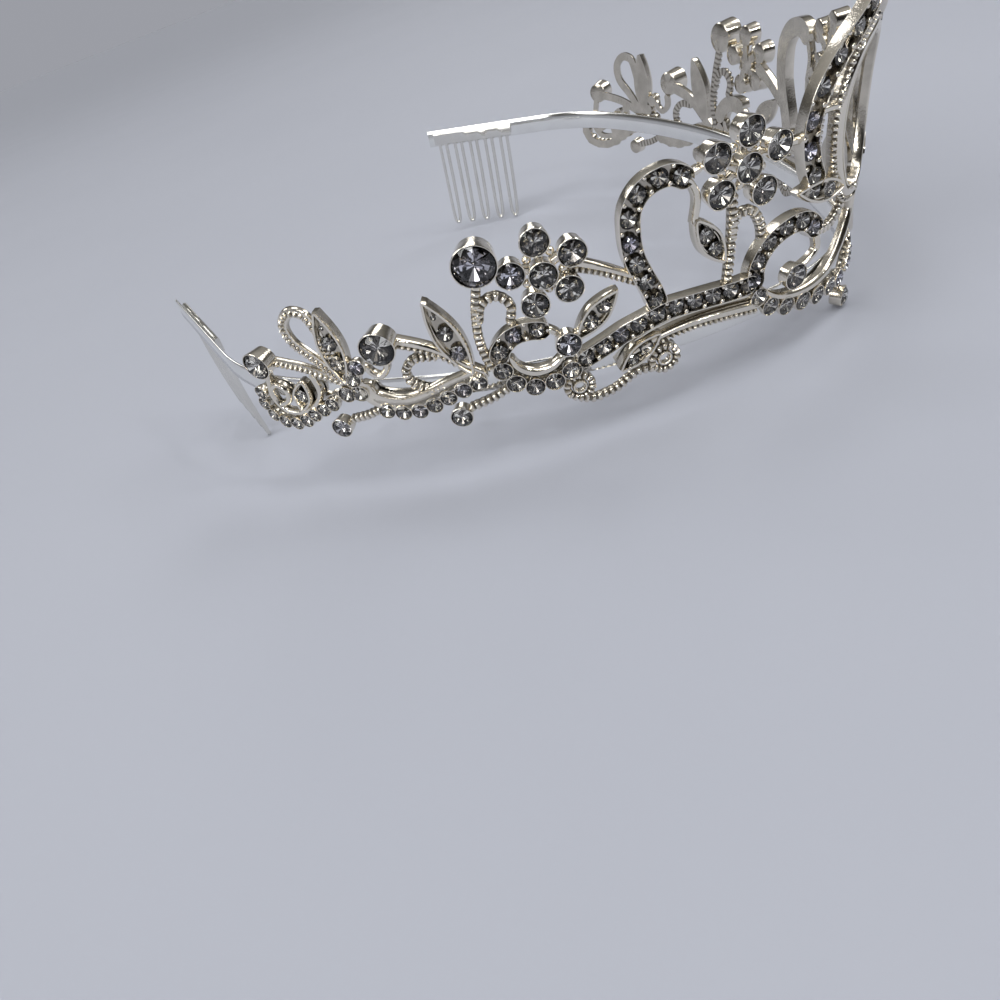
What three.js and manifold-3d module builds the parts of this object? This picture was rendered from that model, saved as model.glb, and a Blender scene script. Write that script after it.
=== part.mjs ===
// A cast rhinestone tiara on a thin headband strip, with a wire comb at each end.
// Millimetres, +Z up. The front faces -Y, the plane x = 0 is the mirror plane, and the
// tiara stands as it rests by itself: on its centre drop and on the tips of both combs.
// The ornament is drawn flat, as distance along the band from the centre line and height
// above the strip's lower edge, and is then wrapped round the band's plan curve.
import * as THREE from 'three';
import { mergeVertices } from 'three/addons/utils/BufferGeometryUtils.js';
import Module from 'manifold-3d';

const wasm = await Module();
wasm.setup();

// Plan curve of the band, from the front centre to one end.
const FRONT_RADIUS = 30;
const FRONT_TURN = 29;      // degrees
const SIDE_RADIUS = 106;
const SIDE_TURN = 50;
const BEND_RADIUS = 38;
const BEND_TURN = 35;
const END_LENGTH = 33.5;
// Headband strip.
const STRIP_HEIGHT = 4.5;
const STRIP_THICK = 0.5;
const GAP = 0.3;            // between pieces that are soldered or glued in the real thing
// Ornament.
const ORNAMENT_HALF = 120;  // the tables below give distances along for this half length
const ORNAMENT_PEAK = 50;   // and heights for this peak height
const CAST_DEPTH = 1.4;     // how far the castings stand out from their backs
const LOW_DEPTH = 1.1;      // the same for plain wires and rails
const LEAF_WIDTH = 4;       // of a middling leaf
const LEAF_RIM = 1.1;
const LEAF_RIDGE = 1.8;
const LEAF_INSET = 0.5;     // from a leaf's edge to the middle of its rim
const BEADED_WIDTH = 1.7;
const RAIL_WIDTH = 1.3;
const BAND_WIDTH = 2.7;
const PAVE_WIDTH = 3.2;
const SMALL_STONE = 1.4;    // radius of the fused field stones
const SMALL_STONE_RISE = 1.0;
const SMALL_STONE_SINK = 0.2;
const CUP_WALL = 0.3;       // round a field stone that stands in a cluster
const LARGE_STONE = 2.9;    // radius of the largest single stone
const SEAT_WALL = 0.45;     // bezel wall
const SEAT_ROOM = 0.4;      // under the point of a single stone
const BEZEL_RISE = 4;       // highest bezel rim, outward from the casting's back
const BEZEL_SIDES = 10;
const WIRE_STEP = 4.8;      // length of one straight piece of a curved wire
// Combs.
const TOOTH_LENGTH = 25;
const TOOTH_PITCH = 4.7;
const TOOTH_COUNT = 5;
const TOOTH_WIDTH = 3.0;
const COMB_WIRE = 1.0;
const TOOTH_BEND = 1.6;     // how far a tooth's tip bends inward
const COMB_BACK_HEIGHT = 3.2;
const COMB_INSET = 2;       // from the strip's end to the comb
const WIRE_SIDES = 5;

const rad = THREE.MathUtils.degToRad;
const ALONG = ORNAMENT_HALF / 120;
const UP = ORNAMENT_PEAK / 50;
const DRAWN = Math.max(ALONG, UP);    // widths follow the drawing, so that its joints still meet
const BACK = STRIP_THICK / 2 + GAP;   // back face of the castings, outward from the band's middle
const STRIP_HALF = FRONT_RADIUS * rad(FRONT_TURN) + SIDE_RADIUS * rad(SIDE_TURN)
  + BEND_RADIUS * rad(BEND_TURN) + END_LENGTH;

// Wires of one half. along / up points run through the middle of each wire.
const WIRES = [
  { style: 'pave', stones: 9, path: [[115.4, 2.6], [116.4, -0.6], [115, -3.6], [111.9, -4.7], [108.5, -4.2], [104.5, -1.8], [99.3, 1.1]] },
  { style: 'beaded', path: [[110.5, 8.6], [104, 7.4], [97, 4.6]] },
  { style: 'rail', path: [[103, 6.8], [102.6, 2.6], [104.8, -0.4], [108.4, -2.2], [111.8, -2], [113.6, 0.6], [113, 4.2], [112.4, 7.6]] },
  { style: 'rail', path: [[113.4, 2.2], [111.4, 3.6], [109.7, 2.4], [110.3, 0.2], [112.6, -1]] },
  { style: 'beaded', path: [[96.8, 4.6], [101, 9.3], [104.4, 13], [104.8, 16.3], [102.8, 18.4], [100.2, 18], [98.8, 15], [97, 8]] },
  { style: 'beaded', path: [[98.6, -3.6], [94.4, -2.4], [91.5, -0.9]] },
  { style: 'pave', stones: 7, path: [[91.9, -0.6], [88.4, -1.4], [84.9, -1.4], [81.7, -0.4], [78.5, 1.1], [75.2, 2.5], [71.8, 3.6]] },
  { style: 'band', path: [[93.4, 5], [92.4, 2], [89.6, 0.5], [86, 0.3], [82.2, 1.5], [77.5, 3.5], [72.6, 5]] },
  { style: 'rail', path: [[88.4, 10.4], [88.2, 7.6], [89.7, 6], [91.3, 6.8], [92, 8.4]] },
  { style: 'beaded', path: [[86.6, 12.6], [79.8, 10.2], [74.9, 6.6], [71.6, 4.4]] },
  { style: 'beaded', path: [[77.6, 2.6], [81.9, 2.3], [84.6, 3.9], [85.2, 6.4], [83.3, 8.6], [79, 8.8]] },
  { style: 'beaded', path: [[76, -2.4], [71.6, -0.9], [67.6, 1.2]] },
  { style: 'beaded', path: [[69.9, 22.6], [71.5, 15], [71.7, 10], [70.6, 4.6]] },
  { style: 'beaded', path: [[71.3, 13.6], [70.2, 17], [67.8, 17.9], [65.8, 16], [66.4, 12.6]] },
  { style: 'pave', stones: 8, path: [[58.8, 9], [61.2, 11], [65.8, 11.2], [68.2, 9], [68.9, 5.9], [67.3, 2.6], [64.1, 1], [60.5, 1.3], [57.7, 3.1]] },
  { style: 'beaded', path: [[56.2, 21], [50.6, 18.4], [45.4, 15.4]] },
  { style: 'pave', stones: 10, path: [[56.6, 3.6], [51.6, 5.7], [48.5, 7.1], [45.3, 8], [41.5, 9], [37.4, 9], [33.7, 8.8], [28.6, 8.4], [24.8, 8.4]] },
  { style: 'beaded', path: [[56.9, 1.6], [58.3, -0.8], [57.4, -3.4], [54.6, -4.4], [49.8, -2.8], [45.4, -0.4], [44, 3.4]] },
  { style: 'rail', path: [[58, -2.6], [55.6, -1.4], [56.4, 2.4]] },
  { style: 'beaded', path: [[43.6, 2.9], [44.3, -0.4], [42.4, -2.4], [39.8, -1], [40, 1.6], [42, 4.4]] },
  { style: 'band', path: [[47.4, 2.6], [42.4, 4.2], [36.4, 4.7], [30, 4.2], [23.8, 3.3]] },
  { style: 'pave', stones: 8, path: [[42.4, 9.6], [43.6, 13.3], [45, 16.4], [46.3, 19.9], [46.7, 23.6], [46.3, 27.2], [44.1, 29.8], [40.2, 30.6], [36.8, 28.7]] },
  { style: 'rail', path: [[37.2, 29], [35.7, 26], [36.2, 21.4]] },
  { style: 'beaded', path: [[29.4, 25.4], [29.3, 19], [29.6, 13.6], [30, 8.8]] },
  { style: 'rail', path: [[29.4, 17], [28.5, 20.4], [26, 20.6], [24, 17.8], [23.4, 13.6]] },
  { style: 'rail', path: [[36.9, 29.3], [34.8, 30]] },
  { style: 'pave', stones: 13, path: [[12.2, 12.2], [15.4, 15.4], [19.2, 15.8], [23, 14.1], [25.1, 10.9], [25.1, 6.8], [22.7, 3.3], [19.6, 1.4], [16, 0.7], [11.6, -0.2], [6.4, -0.6], [0.9, -1.2]] },
  { style: 'rail', path: [[23.6, 6.2], [19.6, 3.4], [14, 2.2], [8.4, 3], [3.6, 6.2], [0, 11], [0, 14]] },
  { style: 'rail', path: [[17, 6.4], [11.4, 8.6], [12.2, 12.6]] },
  { style: 'band', path: [[0, 14.2], [4.4, 15.4], [7.6, 20], [9.2, 26.4], [8.6, 32.6], [5, 37.6], [0, 39.6]] },
  { style: 'beaded', path: [[6.8, 17.6], [4.4, 14], [8, 11.6], [12.4, 12]] },
  { style: 'pave', stones: 7, path: [[13.4, 20.2], [15.4, 24.6], [16.2, 29.6], [14.8, 34.6], [11.2, 39], [6, 42.2], [2, 44.4]] },
  { style: 'rail', path: [[16.4, 28.4], [19.6, 28.8], [23, 28.4]] },
  { style: 'rail', path: [[8.8, 30.6], [12, 31.4], [15.8, 31.4]] },
  { style: 'rail', path: [[0, 38.6], [0, 43]] },
  { style: 'rail', path: [[1, -1], [0, -5]] },
];

// Leaves of one half: a rim round a flat ridge, from base to tip. width is a share of LEAF_WIDTH.
const LEAVES = [
  { base: [104.9, 5.4], tip: [107.6, -1.6], width: 0.95 },
  { base: [96.2, 4.8], tip: [97.3, 19.3], width: 1.2 },
  { base: [73.8, 5], tip: [79.2, 19.5], width: 1.2 },
  { base: [56.4, 8], tip: [49, 15.2], width: 1.05 },
  { base: [42.8, 4.8], tip: [50, 0.8], width: 0.95 },
  { base: [36.2, 22.6], tip: [31, 13.9], width: 1.05 },
  { base: [6.2, 17.6], tip: [17.8, 20.6], width: 1 },
];

// Single small stones of one half that stand in a cluster.
const CLUSTER = [[93.4, 8.2], [94.8, 5.9], [94.3, 2.9], [96.9, 2.7]];

// Stones in their own bezels. size is a share of LARGE_STONE, and front, how far the bezel's
// rim stands out from the back of the casting, one of BEZEL_RISE.
const BEZELS = [
  { name: 'end_round', at: [111.8, 9], size: 0.72, front: 0.85 },
  { name: 'stem_round', at: [87.6, 12.9], size: 0.86, front: 1 },
  { name: 'high_round', at: [69.8, 24.8], size: 1.0, front: 1 },
  { name: 'outer_drop', at: [100, -4.4], size: 0.5, front: 0.6 },
  { name: 'inner_drop', at: [77.3, -3], size: 0.5, front: 0.6 },
  { name: 'ring_side', at: [57.8, 8], size: 0.56, front: 0.65 },
  { name: 'ring_heart', at: [17, 6.4], size: 0.6, front: 0.6 },
  { name: 'outer_flower_heart', at: [60.2, 20.8], size: 0.6, front: 0.7 },
  { name: 'outer_flower_1', at: [65, 21.8], size: 0.6, front: 0.7 },
  { name: 'outer_flower_2', at: [60.8, 26.2], size: 0.6, front: 0.7 },
  { name: 'outer_flower_3', at: [55.6, 23.4], size: 0.6, front: 0.7 },
  { name: 'outer_flower_4', at: [56.6, 17.8], size: 0.6, front: 0.7 },
  { name: 'outer_flower_5', at: [62, 16.2], size: 0.6, front: 0.7 },
  { name: 'inner_flower_heart', at: [28, 28.2], size: 0.6, front: 0.7 },
  { name: 'inner_flower_1', at: [33.4, 31.2], size: 0.6, front: 0.7 },
  { name: 'inner_flower_2', at: [28, 33.4], size: 0.6, front: 0.7 },
  { name: 'inner_flower_3', at: [22.9, 29.9], size: 0.6, front: 0.7 },
  { name: 'inner_flower_4', at: [25.2, 24], size: 0.6, front: 0.7 },
  { name: 'inner_flower_5', at: [32.6, 25.6], size: 0.6, front: 0.7 },
];
const SPOKES = [['outer_flower_heart', 'outer_flower_'], ['inner_flower_heart', 'inner_flower_']];
const CENTRE_BEZELS = [
  { name: 'centre_drop', at: [0, -6.2], size: 0.5, front: 0.6 },
  { name: 'centre_top', at: [0, 46.4], size: 0.86, front: 0.85 },
];

// Place and heading on the plan curve; side is 1 for +X and -1 for -X.
function plan(along) {
  const side = along < 0 ? -1 : 1;
  let left = Math.abs(along);
  let x = 0;
  let y = 0;
  let heading = 0;
  for (const [radius, turn] of [[FRONT_RADIUS, FRONT_TURN], [SIDE_RADIUS, SIDE_TURN], [BEND_RADIUS, BEND_TURN]]) {
    const part = Math.min(left, radius * rad(turn));
    const next = heading + part / radius;
    x += radius * (Math.sin(next) - Math.sin(heading));
    y += radius * (Math.cos(heading) - Math.cos(next));
    heading = next;
    left -= part;
  }
  x += left * Math.cos(heading);
  y += left * Math.sin(heading);
  return { x: side * x, y, heading: side * heading };
}

// Point of the wrapped drawing: distance along, height, and outward from the band's middle.
function wrap(along, up, out) {
  const p = plan(along);
  return new THREE.Vector3(p.x + out * Math.sin(p.heading), p.y - out * Math.cos(p.heading), up);
}

// Matrix that puts a shape turned about its Y axis on the wrapped drawing, facing outward.
function facing(along, up, out) {
  const p = plan(along);
  const basis = new THREE.Matrix4().makeBasis(
    new THREE.Vector3(Math.cos(p.heading), Math.sin(p.heading), 0),
    new THREE.Vector3(Math.sin(p.heading), -Math.cos(p.heading), 0),
    new THREE.Vector3(0, 0, -1));
  return basis.setPosition(wrap(along, up, out));
}

// Closed manifold solid of a closed three.js geometry, its faces turned outward.
function solid(geometry) {
  const bare = geometry.clone();
  bare.deleteAttribute('normal');
  bare.deleteAttribute('uv');
  const merged = mergeVertices(bare, 1e-4);
  const index = Array.from(merged.index.array);
  const at = (i) => new THREE.Vector3().fromBufferAttribute(merged.attributes.position, i);
  const tris = [];
  let volume = 0;
  for (let i = 0; i < index.length; i += 3) {
    const [a, b, c] = [index[i], index[i + 1], index[i + 2]];
    if (a === b || b === c || c === a) continue;
    tris.push([a, b, c]);
    volume += at(a).dot(at(b).cross(at(c)));
  }
  const turned = volume < 0 ? tris.map(([a, b, c]) => [a, c, b]) : tris;
  return new wasm.Manifold(new wasm.Mesh({
    numProp: 3,
    vertProperties: new Float32Array(merged.attributes.position.array),
    triVerts: new Uint32Array(turned.flat()),
  }));
}

// Closed body through rings of points with equal counts; looped bodies have no end faces.
function loft(rings, looped) {
  const n = rings[0].length;
  const positions = rings.flat().flatMap((p) => [p.x, p.y, p.z]);
  const index = [];
  const last = looped ? rings.length : rings.length - 1;
  for (let i = 0; i < last; i += 1) {
    const a = i * n;
    const b = ((i + 1) % rings.length) * n;
    for (let k = 0; k < n; k += 1) {
      const m = (k + 1) % n;
      index.push(a + k, b + k, b + m, a + k, b + m, a + m);
    }
  }
  if (!looped) {
    const end = (rings.length - 1) * n;
    for (let k = 1; k < n - 1; k += 1) {
      index.push(0, k, k + 1, end, end + k + 1, end + k);
    }
  }
  const geometry = new THREE.BufferGeometry();
  geometry.setAttribute('position', new THREE.Float32BufferAttribute(positions, 3));
  geometry.setIndex(index);
  return geometry;
}

// Evenly spaced points and left-hand normals of a smooth flat path.
function walk(path, side, count, looped) {
  const curve = new THREE.CatmullRomCurve3(
    path.map(([a, u]) => new THREE.Vector3(side * a * ALONG, u * UP, 0)), looped, 'centripetal');
  const steps = count ?? Math.max(1, Math.round(curve.getLength() / WIRE_STEP));
  const places = [];
  for (let i = 0; i <= steps - (looped ? 1 : 0); i += 1) {
    const p = curve.getPointAt(i / steps);
    const t = curve.getTangentAt(i / steps);
    places.push({ a: p.x, u: p.y, na: -t.y, nu: t.x });
  }
  return places;
}

// Flat cast wire: x along the band, y up, z outward from the casting's back.
function wire(path, side, width, depth, looped = false, count = undefined) {
  const section = [[-0.5, 0], [0.5, 0], [0.5, 1], [-0.5, 1]].map(([w, d]) => [w * width * DRAWN, d * depth]);
  const rings = walk(path, side, count, looped).map(({ a, u, na, nu }) => section.map(
    ([w, d]) => new THREE.Vector3(a + na * w, u + nu * w, d)));
  return solid(loft(rings, looped));
}

// The flat drawing bent round the band's plan curve.
function bent(body) {
  const mesh = body.getMesh();
  const geometry = new THREE.BufferGeometry();
  const places = [];
  for (let i = 0; i < mesh.vertProperties.length; i += 3) {
    const [a, u, d] = mesh.vertProperties.slice(i, i + 3);
    places.push(...wrap(a, u, BACK + d).toArray());
  }
  geometry.setAttribute('position', new THREE.Float32BufferAttribute(places, 3));
  geometry.setIndex(new THREE.Uint32BufferAttribute(mesh.triVerts, 1));
  return solid(geometry);
}

// Turned shape that faces out of the flat drawing.
function turned(profile, sides, along, up, depth) {
  const geometry = new THREE.LatheGeometry(profile.map(([r, h]) => new THREE.Vector2(r, h)), sides);
  geometry.rotateX(Math.PI / 2);
  geometry.translate(along, up, depth);
  return solid(geometry);
}

// Small fused stone: a table and eight crown facets over the casting's front.
function fieldStone(along, up, depth) {
  const r = SMALL_STONE;
  return turned([[0, -SMALL_STONE_SINK], [r, -SMALL_STONE_SINK], [0.58 * r, SMALL_STONE_RISE], [0, SMALL_STONE_RISE]],
    8, along, up, depth);
}

function stoneRadius(b) {
  return b.size * LARGE_STONE;
}

function bezelDepth(b) {
  return 0.55 * stoneRadius(b) + SEAT_ROOM;
}

function bezelRim(b) {
  return b.front * BEZEL_RISE;
}

function bezel(b, side, extra = 0) {
  const r = stoneRadius(b) + GAP + SEAT_WALL + extra;
  return turned([[0, -extra], [r, -extra], [r, bezelRim(b) + extra], [0, bezelRim(b) + extra]], BEZEL_SIDES,
    side * b.at[0] * ALONG, b.at[1] * UP, 0);
}

function pocket(b, side) {
  const r = (stoneRadius(b) + GAP) / Math.cos(Math.PI / BEZEL_SIDES);
  return turned([[0, -bezelDepth(b)], [r, -bezelDepth(b)], [r, BEZEL_RISE], [0, BEZEL_RISE]], BEZEL_SIDES,
    side * b.at[0] * ALONG, b.at[1] * UP, bezelRim(b));
}

// Round cut stone with eight sides: table, crown, girdle and a pointed back.
function cutStone(b, side) {
  const r = stoneRadius(b);
  const geometry = new THREE.LatheGeometry([[0, -0.55], [1, 0], [0.56, 0.42], [0, 0.42]].map(
    ([x, y]) => new THREE.Vector2(x * r, y * r)), 8);
  geometry.applyMatrix4(facing(side * b.at[0] * ALONG, b.at[1] * UP, BACK + bezelRim(b)));
  return solid(geometry);
}

function leaf(l, side) {
  const [ba, bu] = l.base;
  const [ta, tu] = l.tip;
  const length = Math.hypot(ta - ba, tu - bu);
  const [da, du] = [(ta - ba) / length, (tu - bu) / length];
  const half = l.width * LEAF_WIDTH / 2 - LEAF_INSET;
  const point = (share, across) => [ba + da * share * length - du * across * half,
    bu + du * share * length + da * across * half];
  const rim = [point(0, 0), point(0.3, 0.85), point(0.55, 1), point(0.8, 0.6), point(1, 0),
    point(0.8, -0.6), point(0.55, -1), point(0.3, -0.85)];
  return [
    wire(rim, side, LEAF_RIM, CAST_DEPTH, true, 8),
    wire([point(0, 0), point(1, 0)], side, LEAF_RIDGE, LOW_DEPTH, false, 1),
  ];
}

const join = (solids) => solids.reduce((whole, next) => whole.add(next));

function filigree(side) {
  const width = { beaded: BEADED_WIDTH, rail: RAIL_WIDTH, band: BAND_WIDTH };
  const parts = [];
  for (const w of WIRES) {
    if (w.style === 'pave') {
      parts.push(wire(w.path, side, PAVE_WIDTH, CAST_DEPTH));
      const spots = walk(w.path, side, 2 * w.stones).filter((_, i) => i % 2 === 1);
      spots.forEach(({ a, u }) => parts.push(fieldStone(a, u, CAST_DEPTH)));
    } else {
      parts.push(wire(w.path, side, width[w.style], LOW_DEPTH));
    }
  }
  LEAVES.forEach((l) => parts.push(...leaf(l, side)));
  CLUSTER.forEach(([a, u]) => {
    const r = (SMALL_STONE + CUP_WALL) * DRAWN;
    parts.push(turned([[0, 0], [r, 0], [r, CAST_DEPTH], [0, CAST_DEPTH]], 8, side * a * ALONG, u * UP, 0));
  });
  const at = (name) => BEZELS.find((b) => b.name === name).at;
  for (const [heart, petals] of SPOKES) {
    BEZELS.filter((b) => b.name.startsWith(petals) && b.name !== heart).forEach((b) => {
      parts.push(wire([at(heart), b.at], side, 2, LOW_DEPTH, false, 1));
    });
  }
  BEZELS.forEach((b) => parts.push(bezel(b, side)));
  let body = join(parts);
  BEZELS.forEach((b) => { body = body.subtract(pocket(b, side)); });
  // Each half ends just short of the mirror plane; the -X half carries the centre bezels.
  const beyond = 2 * (ORNAMENT_HALF + ORNAMENT_PEAK);
  const half = new THREE.BoxGeometry(beyond, beyond, beyond);
  half.translate(side * (beyond + GAP) / 2, 0, 0);
  body = body.intersect(solid(half));
  if (side < 0) {
    body = join([body, ...CENTRE_BEZELS.map((b) => bezel(b, 1))]);
    CENTRE_BEZELS.forEach((b) => { body = body.subtract(pocket(b, 1)); });
  } else {
    CENTRE_BEZELS.forEach((b) => { body = body.subtract(bezel(b, 1, GAP)); });
  }
  return bent(body.asOriginal().simplify(0.03));
}

function strip() {
  const steps = 64;
  const rings = [];
  for (let i = 0; i <= steps; i += 1) {
    const s = STRIP_HALF * (2 * i / steps - 1);
    rings.push([[-1, 0], [1, 0], [1, 1], [-1, 1]].map(
      ([d, u]) => wrap(s, u * STRIP_HEIGHT, d * STRIP_THICK / 2)));
  }
  return solid(loft(rings, false));
}

// Comb: a flat back behind the strip's end with hairpin wire teeth that hang from it.
function comb(side) {
  const middle = STRIP_HALF - COMB_INSET - TOOTH_COUNT * TOOTH_PITCH / 2;
  const reach = TOOTH_COUNT * TOOTH_PITCH / 2;
  const inner = -STRIP_THICK / 2 - GAP;
  const low = (STRIP_HEIGHT - COMB_BACK_HEIGHT) / 2;
  const plate = [];
  for (let i = 0; i <= 6; i += 1) {
    const s = side * (middle + reach * (i / 3 - 1));
    plate.push([[inner, low], [inner - COMB_WIRE, low], [inner - COMB_WIRE, low + COMB_BACK_HEIGHT],
      [inner, low + COMB_BACK_HEIGHT]].map(([o, u]) => wrap(s, u, o)));
  }
  const parts = [solid(loft(plate, false))];
  for (let k = 0; k < TOOTH_COUNT; k += 1) {
    const s = middle + TOOTH_PITCH * (k - (TOOTH_COUNT - 1) / 2);
    const w = TOOTH_WIDTH / 2 - COMB_WIRE / 2;
    const bottom = low - TOOTH_LENGTH;
    const root = low + COMB_BACK_HEIGHT / 2;
    const [straight, curve, crown] = [0.48, 0.088, 0.036].map((share) => bottom + share * TOOTH_LENGTH);
    const pins = [[-w, root], [-w, straight], [-0.8 * w, curve], [-0.3 * w, crown],
      [0.3 * w, crown], [0.8 * w, curve], [w, straight], [w, root]];
    const rings = pins.map(([a, u], i) => {
      const before = pins[Math.max(0, i - 1)];
      const after = pins[Math.min(pins.length - 1, i + 1)];
      const t = new THREE.Vector2(after[0] - before[0], after[1] - before[1]).normalize();
      const bend = TOOTH_BEND * ((low - u) / TOOTH_LENGTH) ** 2;
      const ring = [];
      for (let q = 0; q < WIRE_SIDES; q += 1) {
        const turn = q * 2 * Math.PI / WIRE_SIDES;
        const across = COMB_WIRE / 2 * Math.cos(turn);
        ring.push(wrap(side * (s + a - t.y * across), u + t.x * across,
          inner - COMB_WIRE / 2 - Math.max(0, bend) + COMB_WIRE / 2 * 0.94 * Math.sin(turn)));
      }
      return ring;
    });
    parts.push(solid(loft(rings, false)));
  }
  return join(parts);
}

const silver = { color: 0xd9d8d2, roughness: 0.24, metalness: 1 };
const steel = { color: 0xc9c7c0, roughness: 0.3, metalness: 1 };
const crystal = { color: 0xdfe3ea, roughness: 0.05, metalness: 0.1 };

const pieces = [
  ['headband_strip', strip(), silver],
  ['filigree_left', filigree(-1), silver],
  ['filigree_right', filigree(1), silver],
  ['comb_left', comb(-1), steel],
  ['comb_right', comb(1), steel],
  ...BEZELS.flatMap((b) => [[`left_${b.name}_stone`, cutStone(b, -1), crystal],
    [`right_${b.name}_stone`, cutStone(b, 1), crystal]]),
  ...CENTRE_BEZELS.map((b) => [`${b.name}_stone`, cutStone(b, 1), crystal]),
];

// Rest pose: the floor line through the comb tips and the lowest point ahead of them.
const clouds = pieces.map(([, body]) => body.getMesh());
const profile = clouds.flatMap((m) => {
  const list = [];
  for (let i = 0; i < m.vertProperties.length; i += 3) {
    list.push([m.vertProperties[i + 1], m.vertProperties[i + 2]]);
  }
  return list;
});
const tip = profile.reduce((low, p) => (p[1] < low[1] ? p : low));
const slope = Math.min(...profile.filter((p) => p[0] < tip[0] - 30)
  .map((p) => (p[1] - tip[1]) / (tip[0] - p[0])));
export const REST_TILT = Math.atan(slope);
const rest = new THREE.Matrix4().makeRotationX(REST_TILT);
const box = new THREE.Box3();
const corner = new THREE.Vector3();
clouds.forEach((m) => {
  for (let i = 0; i < m.vertProperties.length; i += 3) {
    box.expandByPoint(corner.fromArray(m.vertProperties, i).applyMatrix4(rest));
  }
});
export const REST_SHIFT = [0, -(box.min.y + box.max.y) / 2, -box.min.z];
rest.premultiply(new THREE.Matrix4().makeTranslation(...REST_SHIFT));

const group = new THREE.Group();
pieces.forEach(([name, , look], i) => {
  const geometry = new THREE.BufferGeometry();
  geometry.setAttribute('position', new THREE.Float32BufferAttribute(clouds[i].vertProperties, 3));
  geometry.setIndex(new THREE.Uint32BufferAttribute(clouds[i].triVerts, 1));
  geometry.applyMatrix4(rest);
  geometry.computeVertexNormals();
  const mesh = new THREE.Mesh(geometry, new THREE.MeshStandardMaterial(look));
  mesh.name = name;
  group.add(mesh);
});

export default group;
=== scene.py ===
import math
import random

import bmesh
import bpy
import numpy as np
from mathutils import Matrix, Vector


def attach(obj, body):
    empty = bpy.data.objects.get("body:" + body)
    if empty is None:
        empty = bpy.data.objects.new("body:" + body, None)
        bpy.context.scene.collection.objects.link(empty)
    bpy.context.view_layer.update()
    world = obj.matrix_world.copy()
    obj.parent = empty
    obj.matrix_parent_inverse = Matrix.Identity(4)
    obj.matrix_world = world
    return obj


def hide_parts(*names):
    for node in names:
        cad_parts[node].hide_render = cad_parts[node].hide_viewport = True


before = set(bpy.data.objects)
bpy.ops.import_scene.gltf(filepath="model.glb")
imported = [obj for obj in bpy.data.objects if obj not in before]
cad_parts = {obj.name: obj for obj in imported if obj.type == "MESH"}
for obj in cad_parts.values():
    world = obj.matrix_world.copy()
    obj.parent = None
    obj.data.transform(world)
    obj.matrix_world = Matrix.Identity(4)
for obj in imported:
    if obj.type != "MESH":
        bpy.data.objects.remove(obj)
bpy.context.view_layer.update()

MM = 0.001

# Plan curve and rest pose of the band, as in the model source.
ARCS = ((30, 29), (106, 50), (38, 35))   # radius, turn in degrees, from the front to one end
END_LENGTH = 33.5
STRIP_HALF = sum(r * math.radians(t) for r, t in ARCS) + END_LENGTH
STRIP_HEIGHT = 4.5
STRIP_THICK = 0.5
GAP = 0.3                # solder between the strip and what it carries
BACK = STRIP_THICK / 2 + GAP
REST_TILT = math.radians(7.9327)
REST_SHIFT = (0.0, -58.435, 8.758)

# Stones and their seats. Depths are measured from the casting's back.
SMALL_STONE = 1.45       # radius of a field stone
LARGE_STONE = 2.9        # radius of the largest single stone
STONE_LEAN = 0.07        # how far a stone sits out of true
STONE_SEAT = 1.6         # depth of a field stone's girdle
BEZEL_WALL = 0.55        # from a single stone's nominal edge to the outside of its bezel
BEZEL_LIP = 0.2          # how far the bezel's edge stands outside the stone
BEZEL_SINK = 0.12        # girdle below the bezel's rim
CUP_WALL = 0.2
CUP_HEIGHT = 1.75
CUP_GROWTH = 1.07        # the stones of a row of cups are a little larger
CUP_ROOM = 0.12          # left free between two stones in a row of cups
PRONG_SIZE, PRONG_REACH, PRONG_SEAT = 0.4, 1.22, 1.7   # radius, distance from the middle, depth

# Leaves: rims as (inset from the outline, width, height), and the floor between them.
LEAF_RIMS = ((0.36, 0.8, 1.9), (0.75, 0.4, 1.4))
LEAF_FLOOR = 0.75
LEAF_FLOOR_INSET = 0.3
# The floor's low relief paints it darker: painted shade with some oxide tone.
LEAF_FLOOR_RELIEF = 0.45
LEAF_SEAT = 1.5          # depth of a leaf stone's girdle
LEAF_ROOM = 0.42         # from the leaf's outline to its stones
LEAF_BEAD = (0.95, 0.36)     # depth, radius
FLOWER_BEAD = (1.2, 0.75)
FLOWER_BEAD_PLACE = 0.38     # between two petals, as a share of their summed distances from the heart

# Cross grooves of a knurled wire.
GROOVE_DEPTH, GROOVE_SIDE = 0.42, 0.1    # shares of the wire's height and width
GROOVE_STEPS = 6         # sections from one groove to the next
RIDGE_WIDTH = 1.6        # above 1, the ridges are wider than the grooves
END_WIDTH = 0.25         # a rounded end narrows to this share of the width

# Combs: a flat back and hairpin teeth of wire.
COMB_TEETH, COMB_PITCH, COMB_LENGTH = 5, 4.7, 25
COMB_FROM_END = 2        # from the strip's end to the comb
COMB_BACK_HEIGHT, COMB_BACK_THICK = 3.2, 1.0
TOOTH_WIDTH, TOOTH_WIRE, WIRE_SIDES = 3.0, 0.95, 10
TOOTH_BEND = 1.6         # how far a tooth's tip curves inward
TIP_LIFT = 0.55          # keeps the tips above the table
TOOTH_TIP = ((0, 0.5), (0.4, 0.7), (0.72, 1.6), (0.9, 4), (0.98, 9))   # share of half width, height

# Faces that meet at less than this many degrees are shaded as one.
CAST_ANGLE, STRIP_ANGLE, WIRE_ANGLE = 38, 50, 45

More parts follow.
